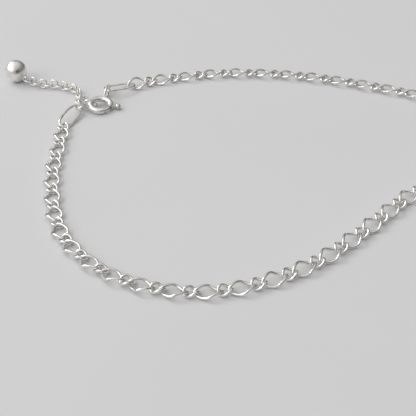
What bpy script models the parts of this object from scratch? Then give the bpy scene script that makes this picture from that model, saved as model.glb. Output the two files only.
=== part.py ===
"""A silver chain anklet, lying closed on a flat surface: a curb chain of long and round links in turn,
fastened by a spring ring, with a short extender that ends in a ball.

The tables are in millimetres and degrees. +Z is up, the surface is Z = 0, and the origin is on it,
under the middle of the anklet. Half sizes of links and rings are to the middle of their wire.
"""

from collections import namedtuple
from math import copysign, cos, pi, radians, sin

import bmesh
import bpy
import numpy as np
from mathutils import Euler, Matrix, Vector

MM = 0.001

# The chain, from the left oval ring round to the right one
Link = namedtuple("Link", "half_length half_width corner segments")
LONG_LINK = Link(2.10, 1.42, 1.35, 12)
ROUND_LINK = Link(1.10, 1.05, 2.00, 8)
LINK_TWIST = 40.0
LONG_LINKS = 41
SECTION_LINKS = (9, 9, 9, 9, 10, 11, 8, 8, 9)
CHAIN_WIRE = 0.24
CHAIN_SIDES = 5
FLAT_HEIGHT = 0.62
HEIGHT_PER_LEAN = 0.014
FUSED_AXES = 0.36
FREE_AXES = 0.95

# Where the chain lies, and how far the inner side of its links is raised there
Station = namedtuple("Station", "x y lean")
ROUTE = (
    Station(-35.4, 12.59, 0.0),
    Station(-35.8, -3.81, 0.0),
    Station(-32.2, -21.71, -3.0),
    Station(-21.6, -34.21, -8.0),
    Station(-6.7, -38.51, 3.0),
    Station(8.4, -33.91, 15.0),
    Station(20.9, -23.41, 15.0),
    Station(28.6, -15.71, 12.0),
    Station(46.2, -2.21, 10.0),
    Station(44.8, 13.59, 8.0),
    Station(20.7, 28.49, 8.0),
    Station(-0.3, 34.19, 6.0),
    Station(-18.1, 32.59, -8.0),
    Station(-20.3, 31.59, -22.0),
)
ROUTE_STEPS = 24
LEAST_STRETCH = 0.9
MOST_STRETCH = 1.1

# Single rings of wire; a corner of 2 gives an ellipse, and more a squarer end
Ring = namedtuple("Ring", "name half_length half_width corner wire segments x y z heading lean pitch")
RINGS = (
    Ring("oval_ring_left", 3.50, 1.30, 2.5, 0.275, 24, -34.01, 18.93, 1.04, 64.3, 29.2, 5.5),
    Ring("oval_ring_right", 3.22, 1.50, 2.5, 0.275, 24, -24.27, 30.07, 1.09, 17.5, -7.9, -3.3),
    Ring("junction_link", 1.15, 1.15, 2.0, 0.200, 16, -32.03, 22.34, 1.32, 43.1, -26.0, 7.5),
    Ring("hook_link", 1.45, 1.45, 2.0, 0.200, 16, -30.13, 22.64, 1.54, 2.8, -64.9, -3.0),
)
RING_SIDES = 6

# The spring ring: bearings go round from +X towards +Y, in its own plane
CLASP_PLACE = (-27.98, 23.01, 1.02)
CLASP_TILT = 7.0
CLASP_ROLL = 5.0
CLASP_RADIUS = 2.08
TUBE_OUTSIDE = 0.66
TUBE_BORE = 0.50
TUBE_START = -26.0
TUBE_END = 288.0
TUBE_STEPS = 24
TUBE_SIDES = 10
SLOT_START = -14.0
SLOT_END = 46.0
SLOT_HALF_HEIGHT = 0.25
SLOT_STEPS = 6
TAIL_BEARING = 76.4
TAIL_REACH = 4.61
TAIL_HALF_LENGTH = 1.75
TAIL_HALF_HEIGHT = 1.16
TAIL_WIRE = 0.25
LOOP_SEGMENTS = 16

# The trigger: pulled by its knob it turns about the middle of the spring ring, along the slot
BOLT = 0.42
BOLT_START = -76.0
BOLT_END = 28.0
BOLT_STEPS = 10
KNOB_BEARING = -8.0
KNOB_REACH = 3.68
KNOB_RADIUS = 0.58
KNOB_SEGMENTS = 10
KNOB_RINGS = 8
STEM = 0.16

# The extender and its ball
Point = namedtuple("Point", "x y z")
EXTENDER_ROUTE = (
    Point(-32.45, 24.09, 0.90),
    Point(-32.55, 25.79, 0.85),
    Point(-32.50, 27.49, 0.85),
    Point(-33.50, 30.09, 0.85),
    Point(-35.30, 31.49, 0.85),
    Point(-38.10, 33.09, 0.85),
    Point(-40.70, 33.69, 0.85),
    Point(-42.60, 34.09, 0.85),
    Point(-44.10, 34.99, 0.95),
)
EXTENDER_STEPS = 4
EXTENDER_RADIUS = 0.80
EXTENDER_BEVEL = 2
BALL_RADIUS = 2.44
BALL_PLACE = (-47.12, 37.71)
BALL_SEGMENTS = 16
BALL_RINGS = 10
EYE_BEARING = -42.0
EYE_REACH = 2.67
EYE_HEIGHT = 1.30
EYE_RADIUS = 0.55
EYE_WIRE = 0.22

SILVER = (0.80, 0.79, 0.77, 1.0)
DULL_SILVER = (0.62, 0.60, 0.57, 1.0)


# General helpers


def clear_scene():
    for thing in list(bpy.data.objects):
        bpy.data.objects.remove(thing, do_unlink=True)


def metal(name, colour, roughness):
    material = bpy.data.materials.new(name)
    material.use_nodes = True
    shader = material.node_tree.nodes["Principled BSDF"]
    shader.inputs["Base Color"].default_value = colour
    shader.inputs["Metallic"].default_value = 1.0
    shader.inputs["Roughness"].default_value = roughness
    return material


def add_object(name, mesh_builder, material):
    """A smooth-shaded object from a bmesh in millimetres."""
    mesh = bpy.data.meshes.new(name)
    bmesh.ops.recalc_face_normals(mesh_builder, faces=mesh_builder.faces)
    bmesh.ops.scale(mesh_builder, vec=(MM, MM, MM), verts=mesh_builder.verts)
    mesh_builder.to_mesh(mesh)
    mesh_builder.free()
    mesh.shade_smooth()
    mesh.materials.append(material)
    thing = bpy.data.objects.new(name, mesh)
    bpy.context.scene.collection.objects.link(thing)
    return thing


def combine(target, helper, operation):
    """Join or cut the target with a hidden helper."""
    helper.hide_render = True
    helper.display_type = "WIRE"
    modifier = target.modifiers.new(helper.name, "BOOLEAN")
    modifier.operation = operation
    modifier.solver = "EXACT"
    modifier.object = helper


def frame_at(tangent, outward):
    """Two unit vectors across a wire, the first one as near to outward as it can be."""
    across = (outward - tangent * outward.dot(tangent)).normalized()
    return across, tangent.cross(across)


def profile_ring(builder, centre, across, up, radius, sides):
    ring = []
    for k in range(sides):
        angle = 2 * pi * k / sides
        ring.append(builder.verts.new(centre + radius * (cos(angle) * across + sin(angle) * up)))
    return ring


def join_rings(builder, first, second):
    count = len(first)
    for k in range(count):
        after = (k + 1) % count
        builder.faces.new((first[k], first[after], second[after], second[k]))


def add_closed_wire(builder, points, radius, sides):
    """A round wire whose middle follows a closed loop of points."""
    middle = sum(points, Vector()) / len(points)
    rings = []
    for k, point in enumerate(points):
        tangent = (points[(k + 1) % len(points)] - points[k - 1]).normalized()
        across, up = frame_at(tangent, point - middle)
        rings.append(profile_ring(builder, point, across, up, radius, sides))
    for k, ring in enumerate(rings):
        join_rings(builder, ring, rings[(k + 1) % len(rings)])


def oval_points(front, back, half_width, corner, segments, twist=0.0):
    """Points round an oval along X, turned about X by twist from its back end to its front end."""
    points = []
    for k in range(segments):
        turn = 2 * pi * k / segments
        along = copysign(abs(cos(turn)) ** (2 / corner), cos(turn))
        aside = half_width * copysign(abs(sin(turn)) ** (2 / corner), sin(turn))
        angle = -radians(twist) * along
        reach = front if along > 0 else back
        points.append(Vector((reach * along, aside * cos(angle), aside * sin(angle))))
    return points


def turned(heading, lean, pitch):
    return Euler((radians(lean), -radians(pitch), radians(heading)))


def smooth_curve(rows, steps):
    """A Catmull-Rom curve through rows of numbers, as an array with steps rows to each stretch."""
    rows = np.array(rows, dtype=float)
    rows = np.vstack([2 * rows[0] - rows[1], rows, 2 * rows[-1] - rows[-2]])
    found = []
    for a, b, c, d in zip(rows, rows[1:], rows[2:], rows[3:]):
        for t in np.arange(steps) / steps:
            found.append(
                b + (c - a) * t / 2 + (2 * a - 5 * b + 4 * c - d) * t**2 / 2
                + (3 * b - a - 3 * c + d) * t**3 / 2
            )
    found.append(rows[-2])
    return np.array(found)


# The chain


def places_at(curve, pitch, count):
    """Up to count places along the curve, each a straight pitch from the last."""
    places = [curve[0]]
    for start, stop in zip(curve, curve[1:]):
        while len(places) < count and np.hypot(*(stop - places[-1])[:2]) >= pitch:
            step = stop - start
            gap = start - places[-1]
            a = step[:2] @ step[:2]
            b = 2 * gap[:2] @ step[:2]
            c = gap[:2] @ gap[:2] - pitch**2
            places.append(start + step * (-b + (b * b - 4 * a * c) ** 0.5) / (2 * a))
    return places


def chain_places():
    """x, y and lean of each long link, at the one pitch that ends on the route's end."""
    curve = smooth_curve(ROUTE, ROUTE_STEPS)
    length = np.hypot(*np.diff(curve[:, :2], axis=0).T).sum()
    shortest = LEAST_STRETCH * length / LONG_LINKS
    longest = MOST_STRETCH * length / (LONG_LINKS - 1)
    while longest - shortest > 1e-6:
        pitch = (shortest + longest) / 2
        if len(places_at(curve, pitch, LONG_LINKS)) == LONG_LINKS:
            shortest = pitch
        else:
            longest = pitch
    return np.array(places_at(curve, shortest, LONG_LINKS)), shortest


def chain_links():
    """Every link in its order, as its kind and its matrix, and the step between neighbours."""
    places, pitch = chain_places()
    first_chord = places[1] - places[0]
    first_chord /= np.hypot(*first_chord[:2])
    before = places[0] - first_chord * pitch
    before[2] = places[0][2]
    ends = np.vstack([before, places])
    links = []
    for k in range(LONG_LINKS):
        rounds = (ends[k] + ends[k + 1]) / 2
        beyond = ends[min(k + 2, LONG_LINKS)]
        links.append((ROUND_LINK, link_matrix(rounds, ends[k + 1] - ends[k])))
        links.append((LONG_LINK, link_matrix(ends[k + 1], beyond - ends[k])))
    return links, pitch / 2


def link_matrix(place, direction):
    x, y, lean = place
    heading = np.degrees(np.arctan2(direction[1], direction[0]))
    z = FLAT_HEIGHT + HEIGHT_PER_LEAN * abs(lean)
    return Matrix.Translation((x, y, z)) @ turned(heading, lean, 0).to_matrix().to_4x4()


def link_wire(kind, matrix, front, back):
    points = oval_points(front, back, kind.half_width, kind.corner, kind.segments, LINK_TWIST)
    return [matrix @ point for point in points]


def make_chain(material):
    """The chain in sections: the links of each are one solid, which hangs freely in the next one's."""
    links, step = chain_links()
    fused = (step + FUSED_AXES - LONG_LINK.half_length - ROUND_LINK.half_length) / 2
    free = (step + FREE_AXES - LONG_LINK.half_length - ROUND_LINK.half_length) / 2
    last = -1
    for section, count in enumerate(SECTION_LINKS):
        first, last = last + 1, last + count
        builders = {LONG_LINK: bmesh.new(), ROUND_LINK: bmesh.new()}
        for k in range(first, last + 1):
            kind, matrix = links[k]
            back = 0.0 if k == 0 else free if k == first else fused
            front = 0.0 if k == len(links) - 1 else free if k == last else fused
            points = link_wire(kind, matrix, kind.half_length + front, kind.half_length + back)
            add_closed_wire(builders[kind], points, CHAIN_WIRE, CHAIN_SIDES)
        name = f"chain_{section + 1}"
        chain = add_object(name, builders[LONG_LINK], material)
        rounds = add_object(f"{name}_round_links", builders[ROUND_LINK], material)
        combine(chain, rounds, "UNION")


# Rings


def make_ring(row, material):
    builder = bmesh.new()
    points = oval_points(row.half_length, row.half_length, row.half_width, row.corner, row.segments)
    add_closed_wire(builder, points, row.wire, RING_SIDES)
    ring = add_object(row.name, builder, material)
    ring.location = Vector((row.x, row.y, row.z)) * MM
    ring.rotation_euler = turned(row.heading, row.lean, row.pitch)


def make_upright_loop(name, bearing, reach, half_length, half_height, wire, material):
    """A loop of wire that stands upright along a bearing, with its middle at reach from the origin."""
    stand = Matrix.Rotation(radians(bearing), 4, "Z") @ Matrix.Translation((reach, 0, 0))
    stand = stand @ Matrix.Rotation(pi / 2, 4, "X")
    points = oval_points(half_length, half_length, half_height, 2.0, LOOP_SEGMENTS)
    builder = bmesh.new()
    add_closed_wire(builder, [stand @ point for point in points], wire, RING_SIDES)
    return add_object(name, builder, material)


# The spring ring


def round_arc(bearing):
    """A place on the spring ring's middle line, and the direction outwards there."""
    outward = Vector((cos(radians(bearing)), sin(radians(bearing)), 0))
    return outward * CLASP_RADIUS, outward


def arc_rings(builder, radius, start, stop, steps):
    rings = []
    for bearing in np.linspace(start, stop, steps + 1):
        centre, outward = round_arc(bearing)
        rings.append(profile_ring(builder, centre, outward, Vector((0, 0, 1)), radius, TUBE_SIDES))
    for first, second in zip(rings, rings[1:]):
        join_rings(builder, first, second)
    return rings


def make_tube(material):
    builder = bmesh.new()
    outer = arc_rings(builder, TUBE_OUTSIDE, TUBE_START, TUBE_END, TUBE_STEPS)
    inner = arc_rings(builder, TUBE_BORE, TUBE_START, TUBE_END, TUBE_STEPS)
    join_rings(builder, outer[0], inner[0])
    join_rings(builder, outer[-1], inner[-1])
    return add_object("spring_ring", builder, material)


def make_slot_cutter(material):
    """A curved bar through the tube's outer wall, in which the knob's stem slides."""
    builder = bmesh.new()
    rings = []
    near = CLASP_RADIUS + TUBE_BORE / 2
    far = CLASP_RADIUS + TUBE_OUTSIDE + TUBE_BORE / 2
    corners = (
        (near, -SLOT_HALF_HEIGHT), (far, -SLOT_HALF_HEIGHT),
        (far, SLOT_HALF_HEIGHT), (near, SLOT_HALF_HEIGHT),
    )
    for bearing in np.linspace(SLOT_START, SLOT_END, SLOT_STEPS + 1):
        outward = round_arc(bearing)[1]
        rings.append([builder.verts.new(outward * reach + Vector((0, 0, z))) for reach, z in corners])
    for first, second in zip(rings, rings[1:]):
        join_rings(builder, first, second)
    builder.faces.new(rings[0])
    builder.faces.new(rings[-1])
    return add_object("slot_cutter", builder, material)


def make_bolt(material):
    builder = bmesh.new()
    rings = arc_rings(builder, BOLT, BOLT_START, BOLT_END, BOLT_STEPS)
    builder.faces.new(rings[0])
    builder.faces.new(rings[-1])
    return add_object("trigger", builder, material)


def make_stem(material):
    outward = round_arc(KNOB_BEARING)[1]
    builder = bmesh.new()
    across, up = frame_at(outward, Vector((0, 0, 1)))
    rings = [
        profile_ring(builder, outward * reach, across, up, STEM, RING_SIDES)
        for reach in (CLASP_RADIUS, KNOB_REACH)
    ]
    join_rings(builder, *rings)
    builder.faces.new(rings[0])
    builder.faces.new(rings[1])
    return add_object("trigger_stem", builder, material)


def make_knob(material):
    builder = bmesh.new()
    bmesh.ops.create_uvsphere(
        builder, u_segments=KNOB_SEGMENTS, v_segments=KNOB_RINGS, radius=KNOB_RADIUS
    )
    return add_object("trigger_knob", builder, material)


def make_clasp(tube_material, trigger_material):
    """The spring ring and its trigger, both on an empty at the middle of the ring."""
    middle = bpy.data.objects.new("clasp_middle", None)
    bpy.context.scene.collection.objects.link(middle)
    middle.location = Vector(CLASP_PLACE) * MM
    middle.rotation_euler = (radians(CLASP_TILT), radians(CLASP_ROLL), 0)
    tube = make_tube(tube_material)
    tail = make_upright_loop(
        "tail_loop", TAIL_BEARING, TAIL_REACH, TAIL_HALF_LENGTH, TAIL_HALF_HEIGHT, TAIL_WIRE, tube_material
    )
    slot = make_slot_cutter(tube_material)
    combine(tube, tail, "UNION")
    combine(tube, slot, "DIFFERENCE")
    bolt = make_bolt(trigger_material)
    stem = make_stem(trigger_material)
    knob = make_knob(trigger_material)
    knob.location = round_arc(KNOB_BEARING)[1] * KNOB_REACH * MM
    combine(bolt, stem, "UNION")
    combine(bolt, knob, "UNION")
    for thing in (tube, tail, slot, bolt, stem, knob):
        thing.parent = middle


# The extender


def make_extender(material):
    points = smooth_curve(EXTENDER_ROUTE, EXTENDER_STEPS)
    curve = bpy.data.curves.new("extender_chain", "CURVE")
    curve.dimensions = "3D"
    curve.bevel_depth = EXTENDER_RADIUS * MM
    curve.bevel_resolution = EXTENDER_BEVEL
    curve.use_fill_caps = True
    spline = curve.splines.new("POLY")
    spline.points.add(len(points) - 1)
    for target, point in zip(spline.points, points):
        target.co = (*(point * MM), 1.0)
    curve.materials.append(material)
    thing = bpy.data.objects.new("extender_chain", curve)
    bpy.context.scene.collection.objects.link(thing)


def make_ball(material):
    """The ball with a small flat under it, and the eye that the last link holds."""
    height = BALL_RADIUS * cos(pi / BALL_RINGS)
    builder = bmesh.new()
    bmesh.ops.create_uvsphere(
        builder, u_segments=BALL_SEGMENTS, v_segments=BALL_RINGS, radius=BALL_RADIUS
    )
    lowest = min(builder.verts, key=lambda vertex: vertex.co.z)
    bmesh.ops.dissolve_verts(builder, verts=[lowest])
    ball = add_object("end_ball", builder, material)
    ball.location = Vector((*BALL_PLACE, height)) * MM
    eye = make_upright_loop(
        "ball_eye", EYE_BEARING, EYE_REACH, EYE_RADIUS, EYE_RADIUS, EYE_WIRE, material
    )
    eye.location = Vector((*BALL_PLACE, EYE_HEIGHT)) * MM
    combine(ball, eye, "UNION")


def main():
    clear_scene()
    silver = metal("silver", SILVER, 0.25)
    dull_silver = metal("dull silver", DULL_SILVER, 0.35)
    make_chain(silver)
    for row in RINGS:
        make_ring(row, silver)
    make_clasp(silver, dull_silver)
    make_extender(silver)
    make_ball(silver)


main()
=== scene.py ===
"""The looks of the silver chain anklet: every link, ring and clasp part in full detail, polished silver,
on a pale surface under soft light from the left. The tables are in millimetres and degrees, apart from
those that say metres.
"""

from collections import namedtuple
from math import copysign, cos, exp, pi, radians, sin

import bmesh
import bpy
import numpy as np
from mathutils import Euler, Matrix, Vector

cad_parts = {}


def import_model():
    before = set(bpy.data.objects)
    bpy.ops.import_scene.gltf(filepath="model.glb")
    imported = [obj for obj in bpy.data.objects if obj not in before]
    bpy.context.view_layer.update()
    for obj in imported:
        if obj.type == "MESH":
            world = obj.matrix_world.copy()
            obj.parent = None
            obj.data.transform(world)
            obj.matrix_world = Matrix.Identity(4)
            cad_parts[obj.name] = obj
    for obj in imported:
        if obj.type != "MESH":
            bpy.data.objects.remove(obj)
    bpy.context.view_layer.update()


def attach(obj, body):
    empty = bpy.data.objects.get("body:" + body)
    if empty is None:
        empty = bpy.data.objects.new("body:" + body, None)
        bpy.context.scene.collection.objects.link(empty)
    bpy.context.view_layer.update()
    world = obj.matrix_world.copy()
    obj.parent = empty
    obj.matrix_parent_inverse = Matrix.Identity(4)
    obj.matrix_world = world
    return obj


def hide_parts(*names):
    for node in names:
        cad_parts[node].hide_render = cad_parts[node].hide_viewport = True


MM = 0.001
SHARP_EDGE = 40.0

# A link is a twisted oval of round wire; a corner of 2 gives an ellipse, less a more pointed oval and
# more a squarer one. Its soldered seam is seam_turn of the way round, with a swell in parts of the wire
# and a width in parts of the way round.
Link = namedtuple("Link", "half_length half_width corner wire segments seam_turn")
LONG_LINK = Link(2.28, 1.45, 1.40, 0.250, 72, 0.25)
ROUND_LINK = Link(1.22, 1.05, 2.00, 0.250, 48, 0.75)
LINK_SIDES = 14
LINK_TWIST = 40.0
SEAM_SWELL = 0.07
SEAM_WIDTH = 0.018

# The chain has a round link before each long one, and a node for each section of it
LONG_LINKS = 41
SECTION_LINKS = (9, 9, 9, 9, 10, 11, 8, 8, 9)
FLAT_HEIGHT = 0.68
HEIGHT_PER_LEAN = 0.014
PLAY_HEADING = 2.0
PLAY_LEAN = 4.0
PLAY_SEED = 7

Station = namedtuple("Station", "x y lean")
ROUTE = (
    Station(-35.4, 12.59, 0.0),
    Station(-35.8, -3.81, 0.0),
    Station(-32.2, -21.71, -3.0),
    Station(-21.6, -34.21, -8.0),
    Station(-6.7, -38.51, 3.0),
    Station(8.4, -33.91, 15.0),
    Station(20.9, -23.41, 15.0),
    Station(28.6, -15.71, 12.0),
    Station(46.2, -2.21, 10.0),
    Station(44.8, 13.59, 8.0),
    Station(20.7, 28.49, 8.0),
    Station(-0.3, 34.19, 6.0),
    Station(-18.1, 32.59, -8.0),
    Station(-20.3, 31.59, -22.0),
)
ROUTE_STEPS = 24
LEAST_STRETCH = 0.9
MOST_STRETCH = 1.1
PITCH_TOLERANCE = 1e-6

# Single rings of wire, with the hairline cut where each was closed
Ring = namedtuple("Ring", "name half_length half_width corner wire x y z heading lean pitch")
RINGS = (
    Ring("oval_ring_left", 3.50, 1.30, 2.5, 0.275, -34.01, 18.93, 1.04, 64.3, 29.2, 5.5),
    Ring("oval_ring_right", 3.22, 1.50, 2.5, 0.275, -24.27, 30.07, 1.09, 17.5, -7.9, -3.3),
    Ring("junction_link", 1.15, 1.15, 2.0, 0.200, -32.03, 22.34, 1.32, 43.1, -26.0, 7.5),
    Ring("hook_link", 1.45, 1.45, 2.0, 0.200, -30.13, 22.64, 1.54, 2.8, -64.9, -3.0),
)
RING_SEGMENTS = 96
RING_SIDES = 20
CUT_TURN = 0.27
CUT_SWELL = -0.10
CUT_WIDTH = 0.006

# The clasp, in the plane of its ring, with bearings from +X towards +Y
CLASP_PLACE = (-27.98, 23.01, 1.02)
CLASP_TILT = 7.0
CLASP_ROLL = 5.0
CLASP_RADIUS = 2.08
ARC_SIDES = 32
ROUNDING_STEPS = 4

TUBE_OUTSIDE = 0.66
TUBE_BORE = 0.50
TUBE_START = -26.0
TUBE_END = 288.0
TUBE_ROUNDING = 0.05
TUBE_STEPS = 110
SLOT_START = -14.0
SLOT_END = 46.0
SLOT_HALF_HEIGHT = 0.25
SLOT_STEPS = 30

# The tail loop, its solder, and the stretch of the bore that both would fill
TAIL_BEARING = 76.4
TAIL_REACH = 4.61
TAIL_HALF_LENGTH = 1.75
TAIL_HALF_HEIGHT = 1.16
TAIL_WIRE = 0.25
LOOP_SEGMENTS = 64
SOLDER_RADIUS = 0.34
SOLDER_HEIGHT = 1.15
SOLDER_DEPTH = 0.02
SOLDER_SEGMENTS = (24, 16)
CLEAR_START = 60.0
CLEAR_END = 100.0
CLEAR_STEPS = 16

# The trigger; each row of the collar under its knob is a distance below the knob's middle and a radius
# in parts of the stem's
BOLT = 0.42
BOLT_START = -76.0
BOLT_END = 28.0
BOLT_ROUNDING = 0.12
BOLT_STEPS = 40
KNOB_BEARING = -8.0
KNOB_REACH = 3.68
KNOB_RADIUS = 0.58
KNOB_SEGMENTS = (40, 24)
STEM = 0.16
STEM_SIDES = 20
COLLAR = ((0.62, 1.0), (0.50, 1.25), (0.42, 1.7), (0.0, 1.7))

# The extender: small round links, in turn on edge and nearly flat
Point = namedtuple("Point", "x y z")
EXTENDER_ROUTE = (
    Point(-32.37, 23.80, 1.05),
    Point(-32.55, 25.79, 0.94),
    Point(-32.50, 27.49, 0.94),
    Point(-33.50, 30.09, 0.94),
    Point(-35.30, 31.49, 0.94),
    Point(-38.10, 33.09, 0.94),
    Point(-40.70, 33.69, 0.94),
    Point(-42.06, 34.06, 1.11),
    Point(-44.36, 35.43, 1.10),
)
EXTENDER_STEPS = 16
EXTENDER_LINKS = 16
EXTENDER_LINK = Link(0.85, 0.85, 2.00, 0.190, 40, 0.25)
HEADING_REACH = 0.4
Lie = namedtuple("Lie", "lean turn lift")
ON_EDGE = Lie(-75.0, 0.0, 0.09)
FLAT = Lie(15.0, 0.0, -0.17)
FIRST_LIE = Lie(75.7, 13.3, 0.0)
LAST_LIE = Lie(17.1, -29.4, 0.0)

# The ball, with a groove where its halves meet, in parts of its radius, and its eye
BALL_RADIUS = 2.42
BALL_PLACE = (-47.12, 37.71)
BALL_SEGMENTS = (96, 64)
BALL_TURN = 62.0
BALL_AXIS = (0.9, 0.3, 0.2)
GROOVE_DEPTH = 0.006
GROOVE_WIDTH = 0.02
EYE_BEARING = -42.0
EYE_REACH = 2.67
EYE_HEIGHT = 1.30
EYE_RADIUS = 0.55
EYE_WIRE = 0.22

# The silvers
Silver = namedtuple("Silver", "name bright dark roughness scratches")
POLISHED = Silver("polished silver", (0.94, 0.93, 0.91), (0.74, 0.72, 0.69), 0.13, 0.10)
SATIN = Silver("satin silver", (0.94, 0.93, 0.91), (0.80, 0.78, 0.75), 0.33, 0.06)
WORN = Silver("worn silver", (0.80, 0.78, 0.75), (0.50, 0.47, 0.43), 0.24, 0.18)

# Their wear: noises as a scale per metre and a detail, and depths in metres
TARNISH_NOISE = (900.0, 5.0)
TARNISH_RANGE = (0.36, 0.56)
SMUDGE_NOISE = (2400.0, 6.0)
SMUDGE_LEAST = 0.6
SMUDGE_MOST = 1.5
SCRATCH_NOISE = (14000.0, 4.0)
SCRATCH_STRETCH = (1.0, 0.15, 1.0)
SCRATCH_TURN = (0.4, 0.2, 0.9)
SCRATCH_DEPTH = 0.00001
DENT_NOISE = (1500.0, 2.0)
DENT_STRENGTH = 0.25
DENT_DEPTH = 0.00008

# The pale surface, in metres
FLOOR_SIZE = 3.0
FLOOR_NOISE = (25.0, 2.0)
FLOOR_COLOURS = ((0.750, 0.759, 0.779), (0.775, 0.784, 0.804))
FLOOR_ROUGHNESS = 0.75
FLOOR_SPECULAR = 0.25

# The camera stands in front of the anklet and looks down at it, a little turned to one side
CAMERA_PLACE = (-7.0, -160.81, 104.31)
CAMERA_DOWN = 35.514
CAMERA_TURN = -3.402
CAMERA_LENS = 87.36
CAMERA_CLIP = 10.0
SENSOR_WIDTH = 36.0

# The light: panels of so many metres, by azimuth, elevation and distance in metres
Panel = namedtuple("Panel", "name azimuth elevation distance width height brightness colour")
PANELS = (
    Panel("window", 138, 38, 1.35, 0.50, 0.50, 4.4, (1.0, 0.98, 0.96)),
    Panel("white_wall", 196, 40, 1.50, 1.80, 1.00, 0.95, (1.0, 1.0, 1.0)),
)

# The room, as directions and levels of light
ROOM_COLOUR = (1.0, 0.985, 0.96)
ROOM_BRIGHT_SIDE = (-0.40, -0.05, 0.92)
ROOM_DARKEST = 0.17
ROOM_BRIGHTEST = 0.83
DARK_CORNER = (0.40, -0.86, 0.32)
DARK_CORNER_EDGE = 0.86
DARK_CORNER_LEVEL = 0.05


# Objects


def shade(mesh):
    mesh.shade_smooth()
    mesh.set_sharp_from_angle(angle=radians(SHARP_EDGE))


def add_object(name, builder, material):
    """A smooth-shaded object from a bmesh in millimetres."""
    mesh = bpy.data.meshes.new(name)
    bmesh.ops.recalc_face_normals(builder, faces=builder.faces)
    bmesh.ops.scale(builder, vec=(MM, MM, MM), verts=builder.verts)
    builder.to_mesh(mesh)
    builder.free()
    shade(mesh)
    mesh.materials.append(material)
    thing = bpy.data.objects.new(name, mesh)
    bpy.context.scene.collection.objects.link(thing)
    return thing


def stand_for(thing, body, node):
    """Let a visible piece move with its body and take the place of its CAD node."""
    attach(thing, body)
    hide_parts(node)


def apply_boolean(target, helper, operation):
    """Join or cut the target's mesh with a helper object, which is then removed."""
    modifier = target.modifiers.new("shape", "BOOLEAN")
    modifier.operation = operation
    modifier.solver = "EXACT"
    modifier.object = helper
    bpy.context.view_layer.update()
    evaluated = target.evaluated_get(bpy.context.evaluated_depsgraph_get())
    mesh = bpy.data.meshes.new_from_object(evaluated)
    target.modifiers.remove(modifier)
    target.data = mesh
    bpy.data.objects.remove(helper, do_unlink=True)


# Wires


def frame_at(tangent, outward):
    """Two directions square to the tangent, the first as near outward as can be."""
    across = (outward - tangent * outward.dot(tangent)).normalized()
    return across, tangent.cross(across)


def profile_ring(builder, centre, across, up, radius, sides):
    ring = []
    for k in range(sides):
        angle = 2 * pi * k / sides
        ring.append(builder.verts.new(centre + radius * (cos(angle) * across + sin(angle) * up)))
    return ring


def join_rings(builder, first, second):
    count = len(first)
    for k in range(count):
        after = (k + 1) % count
        builder.faces.new((first[k], first[after], second[after], second[k]))


def join_in_turn(builder, rings):
    for first, second in zip(rings, rings[1:]):
        join_rings(builder, first, second)


def close_ends(builder, rings):
    builder.faces.new(rings[0])
    builder.faces.new(rings[-1])


def add_closed_wire(builder, points, radii, sides):
    """A round wire round a closed loop, with its own radius at each point."""
    middle = sum(points, Vector()) / len(points)
    rings = []
    for k, point in enumerate(points):
        tangent = (points[(k + 1) % len(points)] - points[k - 1]).normalized()
        across, up = frame_at(tangent, point - middle)
        rings.append(profile_ring(builder, point, across, up, radii[k], sides))
    join_in_turn(builder, rings + rings[:1])


def oval_points(half_length, half_width, corner, segments, twist=0.0):
    """Points round an oval along X, turned about X by twist at each end."""
    points = []
    for k in range(segments):
        turn = 2 * pi * k / segments
        along = copysign(abs(cos(turn)) ** (2 / corner), cos(turn))
        aside = half_width * copysign(abs(sin(turn)) ** (2 / corner), sin(turn))
        angle = -radians(twist) * along
        points.append(Vector((half_length * along, aside * cos(angle), aside * sin(angle))))
    return points


def seamed(wire, segments, seam_turn, swell, width):
    """Wire radii round a link or ring, fuller or thinner at its seam."""
    radii = []
    for k in range(segments):
        away = (k / segments - seam_turn + 0.5) % 1.0 - 0.5
        radii.append(wire * (1 + swell * exp(-(away / width) ** 2)))
    return radii


def placed(x, y, z, heading, lean, pitch):
    turn = Euler((radians(lean), -radians(pitch), radians(heading)))
    return Matrix.Translation((x, y, z)) @ turn.to_matrix().to_4x4()


def smooth_curve(rows, steps):
    """A Catmull-Rom curve through rows of numbers, as an array with steps rows to each stretch."""
    rows = np.array(rows, dtype=float)
    rows = np.vstack([2 * rows[0] - rows[1], rows, 2 * rows[-1] - rows[-2]])
    found = []
    for a, b, c, d in zip(rows, rows[1:], rows[2:], rows[3:]):
        for t in np.arange(steps) / steps:
            found.append(
                b + (c - a) * t / 2 + (2 * a - 5 * b + 4 * c - d) * t**2 / 2
                + (3 * b - a - 3 * c + d) * t**3 / 2
            )
    found.append(rows[-2])
    return np.array(found)


# Materials


def new_material(name):
    material = bpy.data.materials.new(name)
    material.use_nodes = True
    return material, material.node_tree, material.node_tree.nodes["Principled BSDF"]


def add_noise(tree, vector, scale, detail):
    noise = tree.nodes.new("ShaderNodeTexNoise")
    noise.inputs["Scale"].default_value = scale
    noise.inputs["Detail"].default_value = detail
    tree.links.new(vector, noise.inputs["Vector"])
    return noise.outputs["Fac"]


def add_ramp(tree, factor, positions, colours):
    ramp = tree.nodes.new("ShaderNodeValToRGB")
    for element, position, colour in zip(ramp.color_ramp.elements, positions, colours):
        element.position = position
        element.color = (*colour, 1.0)
    tree.links.new(factor, ramp.inputs["Fac"])
    return ramp.outputs["Color"]


def add_bump(tree, height, strength, depth):
    bump = tree.nodes.new("ShaderNodeBump")
    bump.inputs["Strength"].default_value = strength
    bump.inputs["Distance"].default_value = depth
    tree.links.new(height, bump.inputs["Height"])
    return bump


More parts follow.
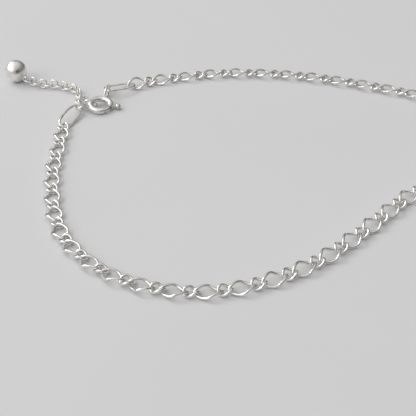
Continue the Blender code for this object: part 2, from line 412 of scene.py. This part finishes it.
def silver_material(kind):
    """Worn silver: bright and slightly tarnished areas, smudges, fine scratches and soft dents."""
    material, tree, shader = new_material(kind.name)
    shader.inputs["Metallic"].default_value = 1.0
    place = tree.nodes.new("ShaderNodeTexCoord").outputs["Object"]

    tarnish = add_noise(tree, place, *TARNISH_NOISE)
    colour = add_ramp(tree, tarnish, TARNISH_RANGE, (kind.dark, kind.bright))
    tree.links.new(colour, shader.inputs["Base Color"])

    smudges = tree.nodes.new("ShaderNodeMapRange")
    smudges.inputs["To Min"].default_value = kind.roughness * SMUDGE_LEAST
    smudges.inputs["To Max"].default_value = kind.roughness * SMUDGE_MOST
    tree.links.new(add_noise(tree, place, *SMUDGE_NOISE), smudges.inputs["Value"])
    tree.links.new(smudges.outputs["Result"], shader.inputs["Roughness"])

    stretch = tree.nodes.new("ShaderNodeMapping")
    stretch.inputs["Scale"].default_value = SCRATCH_STRETCH
    stretch.inputs["Rotation"].default_value = SCRATCH_TURN
    tree.links.new(place, stretch.inputs["Vector"])
    fine = add_noise(tree, stretch.outputs["Vector"], *SCRATCH_NOISE)
    scratches = add_bump(tree, fine, kind.scratches, SCRATCH_DEPTH)
    dents = add_bump(tree, add_noise(tree, place, *DENT_NOISE), DENT_STRENGTH, DENT_DEPTH)
    tree.links.new(scratches.outputs["Normal"], dents.inputs["Normal"])
    tree.links.new(dents.outputs["Normal"], shader.inputs["Normal"])
    return material


def floor_material():
    material, tree, shader = new_material("pale surface")
    shader.inputs["Roughness"].default_value = FLOOR_ROUGHNESS
    shader.inputs["Specular IOR Level"].default_value = FLOOR_SPECULAR
    place = tree.nodes.new("ShaderNodeTexCoord").outputs["Object"]
    cloud = add_noise(tree, place, *FLOOR_NOISE)
    tree.links.new(add_ramp(tree, cloud, (0.0, 1.0), FLOOR_COLOURS), shader.inputs["Base Color"])
    return material


# The chain and the single rings


def places_at(curve, pitch, count):
    """Up to count places along the curve, each a straight pitch from the last."""
    places = [curve[0]]
    for start, stop in zip(curve, curve[1:]):
        while len(places) < count and np.hypot(*(stop - places[-1])[:2]) >= pitch:
            # The share of this step at which the distance from the last place is the pitch
            step = stop - start
            gap = start - places[-1]
            a = step[:2] @ step[:2]
            b = 2 * gap[:2] @ step[:2]
            c = gap[:2] @ gap[:2] - pitch**2
            places.append(start + step * (-b + (b * b - 4 * a * c) ** 0.5) / (2 * a))
    return places


def chain_places():
    """x, y and lean of each long link, and the one pitch at which the last ends the route."""
    curve = smooth_curve(ROUTE, ROUTE_STEPS)
    length = np.hypot(*np.diff(curve[:, :2], axis=0).T).sum()
    shortest = LEAST_STRETCH * length / LONG_LINKS
    longest = MOST_STRETCH * length / (LONG_LINKS - 1)
    while longest - shortest > PITCH_TOLERANCE:
        pitch = (shortest + longest) / 2
        if len(places_at(curve, pitch, LONG_LINKS)) == LONG_LINKS:
            shortest = pitch
        else:
            longest = pitch
    return np.array(places_at(curve, shortest, LONG_LINKS)), shortest


def link_matrix(place, direction, play):
    """A link lies along a direction, give or take its small play."""
    x, y, lean = place
    heading = np.degrees(np.arctan2(direction[1], direction[0])) + PLAY_HEADING * play[0]
    z = FLAT_HEIGHT + HEIGHT_PER_LEAN * abs(lean)
    return placed(x, y, z, heading, lean + PLAY_LEAN * play[1], 0.0)


def chain_links():
    """Every link in its order, as its kind and its matrix."""
    places, pitch = chain_places()
    first_chord = places[1] - places[0]
    first_chord /= np.hypot(*first_chord[:2])
    before = places[0] - first_chord * pitch
    before[2] = places[0][2]
    ends = np.vstack([before, places])
    play = np.random.default_rng(PLAY_SEED).uniform(-1, 1, (LONG_LINKS, 4))
    play[0] = play[-1] = 0.0
    links = []
    for k in range(LONG_LINKS):
        beyond = ends[min(k + 2, LONG_LINKS)]
        middle = (ends[k] + ends[k + 1]) / 2
        links.append((ROUND_LINK, link_matrix(middle, ends[k + 1] - ends[k], play[k, :2])))
        links.append((LONG_LINK, link_matrix(ends[k + 1], beyond - ends[k], play[k, 2:])))
    return links


def add_link(builder, kind, matrix, twist):
    points = oval_points(kind.half_length, kind.half_width, kind.corner, kind.segments, twist)
    radii = seamed(kind.wire, kind.segments, kind.seam_turn, SEAM_SWELL, SEAM_WIDTH)
    add_closed_wire(builder, [matrix @ point for point in points], radii, LINK_SIDES)


def make_chain(material):
    links = iter(chain_links())
    for section, count in enumerate(SECTION_LINKS):
        builder = bmesh.new()
        for _ in range(count):
            kind, matrix = next(links)
            add_link(builder, kind, matrix, LINK_TWIST)
        name = f"chain_{section + 1}"
        stand_for(add_object(f"{name}_links", builder, material), "anklet", name)


def make_ring(row, material):
    builder = bmesh.new()
    points = oval_points(row.half_length, row.half_width, row.corner, RING_SEGMENTS)
    matrix = placed(row.x, row.y, row.z, row.heading, row.lean, row.pitch)
    radii = seamed(row.wire, RING_SEGMENTS, CUT_TURN, CUT_SWELL, CUT_WIDTH)
    add_closed_wire(builder, [matrix @ point for point in points], radii, RING_SIDES)
    stand_for(add_object(f"{row.name}_wire", builder, material), "anklet", row.name)


# The clasp


def outward_at(bearing):
    return Vector((cos(radians(bearing)), sin(radians(bearing)), 0))


def arc_rings(builder, stations):
    """Rings along the clasp's middle line; each station is a bearing and a radius."""
    rings = []
    for bearing, radius in stations:
        outward = outward_at(bearing)
        up = Vector((0, 0, 1))
        rings.append(profile_ring(builder, outward * CLASP_RADIUS, outward, up, radius, ARC_SIDES))
    join_in_turn(builder, rings)
    return rings


def even_ends(start, stop, radius, steps):
    """Stations of an arc with one radius, as bearings and radii."""
    return [(bearing, radius) for bearing in np.linspace(start, stop, steps + 1)]


def rounded_ends(start, stop, radius, rounding, steps):
    """Stations of an arc whose end edges are rounded, as bearings and radii."""
    turn = np.degrees(rounding / CLASP_RADIUS)
    stations = []
    for k in range(ROUNDING_STEPS + 1):
        angle = pi / 2 * (1 - k / ROUNDING_STEPS)
        stations.append((start + turn * (1 - sin(angle)), radius - rounding * (1 - cos(angle))))
    middle = even_ends(start + turn, stop - turn, radius, steps)[1:-1]
    tail = [(start + stop - bearing, size) for bearing, size in reversed(stations)]
    return stations + middle + tail


def upright_loop(builder, bearing, reach, half_length, half_height, wire, lift=0.0):
    """A loop of wire that stands upright along a bearing, with its middle at reach from the origin."""
    stand = Matrix.Rotation(radians(bearing), 4, "Z") @ Matrix.Translation((reach, 0, lift))
    stand = stand @ Matrix.Rotation(pi / 2, 4, "X")
    points = oval_points(half_length, half_height, 2.0, LOOP_SEGMENTS)
    add_closed_wire(builder, [stand @ point for point in points], [wire] * LOOP_SEGMENTS, RING_SIDES)


def finish_on_clasp(thing, body, node):
    """Put a clasp piece in its place and let it stand for its node."""
    matrix = Euler((radians(CLASP_TILT), radians(CLASP_ROLL), 0)).to_matrix().to_4x4()
    matrix = Matrix.Translation(CLASP_PLACE) @ matrix
    matrix.translation *= MM
    thing.data.transform(matrix)
    shade(thing.data)
    stand_for(thing, body, node)


def make_slot(material):
    """What the knob's slot cuts out of the tube's outer side."""
    builder = bmesh.new()
    near = CLASP_RADIUS + TUBE_BORE / 2
    far = CLASP_RADIUS + TUBE_OUTSIDE + TUBE_BORE / 2
    half = SLOT_HALF_HEIGHT
    corners = ((near, -half), (far, -half), (far, half), (near, half))
    rings = []
    for bearing in np.linspace(SLOT_START, SLOT_END, SLOT_STEPS + 1):
        outward = outward_at(bearing)
        rings.append([builder.verts.new(outward * reach + Vector((0, 0, z))) for reach, z in corners])
    join_in_turn(builder, rings)
    close_ends(builder, rings)
    return add_object("slot", builder, material)


def make_tail(material):
    builder = bmesh.new()
    upright_loop(builder, TAIL_BEARING, TAIL_REACH, TAIL_HALF_LENGTH, TAIL_HALF_HEIGHT, TAIL_WIRE)
    return add_object("tail", builder, material)


def make_solder(material):
    """The bead of solder between the tail loop and the tube."""
    builder = bmesh.new()
    seat = Matrix.Rotation(radians(TAIL_BEARING), 4, "Z")
    seat = seat @ Matrix.Translation((CLASP_RADIUS + TUBE_OUTSIDE - SOLDER_DEPTH, 0, 0))
    around, upward = SOLDER_SEGMENTS
    bmesh.ops.create_uvsphere(
        builder, u_segments=around, v_segments=upward, radius=SOLDER_RADIUS, matrix=seat,
    )
    bmesh.ops.scale(builder, vec=(1, 1, SOLDER_HEIGHT), verts=builder.verts)
    return add_object("solder", builder, material)


def make_bore(material):
    builder = bmesh.new()
    rings = arc_rings(builder, even_ends(CLEAR_START, CLEAR_END, TUBE_BORE, CLEAR_STEPS))
    close_ends(builder, rings)
    return add_object("bore", builder, material)


def make_spring_ring(material):
    builder = bmesh.new()
    around = rounded_ends(TUBE_START, TUBE_END, TUBE_OUTSIDE, TUBE_ROUNDING, TUBE_STEPS)
    outer = arc_rings(builder, around)
    inner = arc_rings(builder, even_ends(TUBE_START, TUBE_END, TUBE_BORE, TUBE_STEPS))
    join_rings(builder, outer[0], inner[0])
    join_rings(builder, outer[-1], inner[-1])
    tube = add_object("spring_ring_tube", builder, material)
    apply_boolean(tube, make_slot(material), "DIFFERENCE")
    apply_boolean(tube, make_tail(material), "UNION")
    apply_boolean(tube, make_solder(material), "UNION")
    apply_boolean(tube, make_bore(material), "DIFFERENCE")
    finish_on_clasp(tube, "anklet", "spring_ring")


def make_stem(material):
    """The knob's stem, from the bolt's middle line to the knob, with its collar."""
    builder = bmesh.new()
    outward = outward_at(KNOB_BEARING)
    across, up = frame_at(outward, Vector((0, 0, 1)))
    profile = [(CLASP_RADIUS, STEM)]
    profile += [(KNOB_REACH - below, STEM * share) for below, share in COLLAR]
    rings = [
        profile_ring(builder, outward * reach, across, up, radius, STEM_SIDES)
        for reach, radius in profile
    ]
    join_in_turn(builder, rings)
    close_ends(builder, rings)
    return add_object("stem", builder, material)


def make_knob(material):
    builder = bmesh.new()
    place = Matrix.Translation(outward_at(KNOB_BEARING) * KNOB_REACH)
    around, upward = KNOB_SEGMENTS
    bmesh.ops.create_uvsphere(
        builder, u_segments=around, v_segments=upward, radius=KNOB_RADIUS, matrix=place,
    )
    return add_object("knob", builder, material)


def make_trigger(material):
    builder = bmesh.new()
    rings = arc_rings(builder, rounded_ends(BOLT_START, BOLT_END, BOLT, BOLT_ROUNDING, BOLT_STEPS))
    close_ends(builder, rings)
    bolt = add_object("trigger_bolt", builder, material)
    apply_boolean(bolt, make_stem(material), "UNION")
    apply_boolean(bolt, make_knob(material), "UNION")
    finish_on_clasp(bolt, "trigger", "trigger")


# The extender and its ball


def make_extender(material):
    curve = smooth_curve(EXTENDER_ROUTE, EXTENDER_STEPS)
    steps = np.linalg.norm(np.diff(curve, axis=0), axis=1)
    along = np.concatenate([[0.0], np.cumsum(steps)])

    def place_at(distance):
        return [np.interp(distance, along, curve[:, axis]) for axis in range(3)]

    lies = [ON_EDGE, FLAT] * (EXTENDER_LINKS // 2)
    lies[0], lies[-1] = FIRST_LIE, LAST_LIE
    builder = bmesh.new()
    for lie, distance in zip(lies, np.linspace(0, along[-1], EXTENDER_LINKS)):
        x, y, z = place_at(distance)
        ahead, behind = place_at(distance + HEADING_REACH), place_at(distance - HEADING_REACH)
        direction = np.subtract(ahead, behind)
        heading = np.degrees(np.arctan2(direction[1], direction[0])) + lie.turn
        matrix = placed(x, y, z + lie.lift, heading, lie.lean, 0.0)
        add_link(builder, EXTENDER_LINK, matrix, 0.0)
    stand_for(add_object("extender_links", builder, material), "anklet", "extender_chain")


def make_eye(material):
    builder = bmesh.new()
    upright_loop(builder, EYE_BEARING, EYE_REACH, EYE_RADIUS, EYE_RADIUS, EYE_WIRE, EYE_HEIGHT)
    bmesh.ops.translate(builder, verts=builder.verts, vec=(*BALL_PLACE, 0))
    return add_object("eye", builder, material)


def make_ball(material):
    """The ball, with the faint line where its halves meet, and its soldered eye."""
    builder = bmesh.new()
    around, upward = BALL_SEGMENTS
    bmesh.ops.create_uvsphere(builder, u_segments=around, v_segments=upward, radius=BALL_RADIUS)
    for vertex in builder.verts:
        away = abs(vertex.co.z) / BALL_RADIUS
        vertex.co *= 1 - GROOVE_DEPTH * exp(-(away / GROOVE_WIDTH) ** 2)
    turn = Matrix.Rotation(radians(BALL_TURN), 3, BALL_AXIS)
    bmesh.ops.rotate(builder, verts=builder.verts, matrix=turn)
    bmesh.ops.translate(builder, verts=builder.verts, vec=(*BALL_PLACE, BALL_RADIUS))
    ball = add_object("end_ball_sphere", builder, material)
    apply_boolean(ball, make_eye(material), "UNION")
    shade(ball.data)
    stand_for(ball, "anklet", "end_ball")


# The surface, the light and the camera


def make_floor():
    bpy.ops.mesh.primitive_plane_add(size=FLOOR_SIZE, location=(0, 0, 0))
    floor = bpy.context.object
    floor.name = "surface"
    floor.data.materials.append(floor_material())


def add_panel(row):
    """A soft panel that faces the anklet from its azimuth, counted from +X towards +Y, and elevation."""
    data = bpy.data.lights.new(row.name, "AREA")
    data.shape = "RECTANGLE"
    data.size, data.size_y = row.width, row.height
    data.energy = row.brightness * pi * row.width * row.height
    data.color = row.colour
    azimuth, elevation = radians(row.azimuth), radians(row.elevation)
    away = Vector((cos(azimuth) * cos(elevation), sin(azimuth) * cos(elevation), sin(elevation)))
    light = bpy.data.objects.new(row.name, data)
    light.location = away * row.distance
    light.rotation_euler = away.to_track_quat("Z", "Y").to_euler()
    bpy.context.scene.collection.objects.link(light)


def add_room_level(tree, place, side, start, from_level, to_level):
    """A level that goes smoothly from one to the other as a direction turns towards a side."""
    along = tree.nodes.new("ShaderNodeVectorMath")
    along.operation = "DOT_PRODUCT"
    along.inputs[1].default_value = side
    tree.links.new(place, along.inputs[0])
    level = tree.nodes.new("ShaderNodeMapRange")
    level.interpolation_type = "SMOOTHSTEP"
    level.inputs["From Min"].default_value = start
    level.inputs["From Max"].default_value = 1.0
    level.inputs["To Min"].default_value = from_level
    level.inputs["To Max"].default_value = to_level
    tree.links.new(along.outputs["Value"], level.inputs["Value"])
    return level.outputs["Result"]


def make_room():
    """A room that is bright overhead and dim all round, with one dark corner in front."""
    world = bpy.data.worlds.new("room")
    bpy.context.scene.world = world
    world.use_nodes = True
    tree = world.node_tree
    place = tree.nodes.new("ShaderNodeTexCoord").outputs["Generated"]
    product = tree.nodes.new("ShaderNodeMath")
    product.operation = "MULTIPLY"
    overall = add_room_level(tree, place, ROOM_BRIGHT_SIDE, 0.0, ROOM_DARKEST, ROOM_BRIGHTEST)
    corner = add_room_level(tree, place, DARK_CORNER, DARK_CORNER_EDGE, 1.0, DARK_CORNER_LEVEL)
    tree.links.new(overall, product.inputs[0])
    tree.links.new(corner, product.inputs[1])
    background = tree.nodes["Background"]
    tree.links.new(product.outputs["Value"], background.inputs["Strength"])
    background.inputs["Color"].default_value = (*ROOM_COLOUR, 1.0)


def make_camera():
    data = bpy.data.cameras.new("camera")
    data.lens = CAMERA_LENS
    data.sensor_width = SENSOR_WIDTH
    data.clip_start = CAMERA_CLIP * MM
    camera = bpy.data.objects.new("camera", data)
    look = Matrix.Rotation(radians(90 - CAMERA_DOWN), 4, "X")
    look = look @ Matrix.Rotation(radians(CAMERA_TURN), 4, "Z")
    camera.matrix_world = Matrix.Translation(Vector(CAMERA_PLACE) * MM) @ look
    bpy.context.scene.collection.objects.link(camera)
    bpy.context.scene.camera = camera


def main():
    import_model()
    polished = silver_material(POLISHED)
    satin = silver_material(SATIN)
    worn = silver_material(WORN)
    make_camera()
    make_floor()
    make_room()
    for row in PANELS:
        add_panel(row)
    make_chain(polished)
    for row in RINGS:
        make_ring(row, polished)
    make_spring_ring(satin)
    make_trigger(worn)
    make_extender(satin)
    make_ball(satin)
    bpy.context.scene.view_settings.view_transform = "Standard"


main()
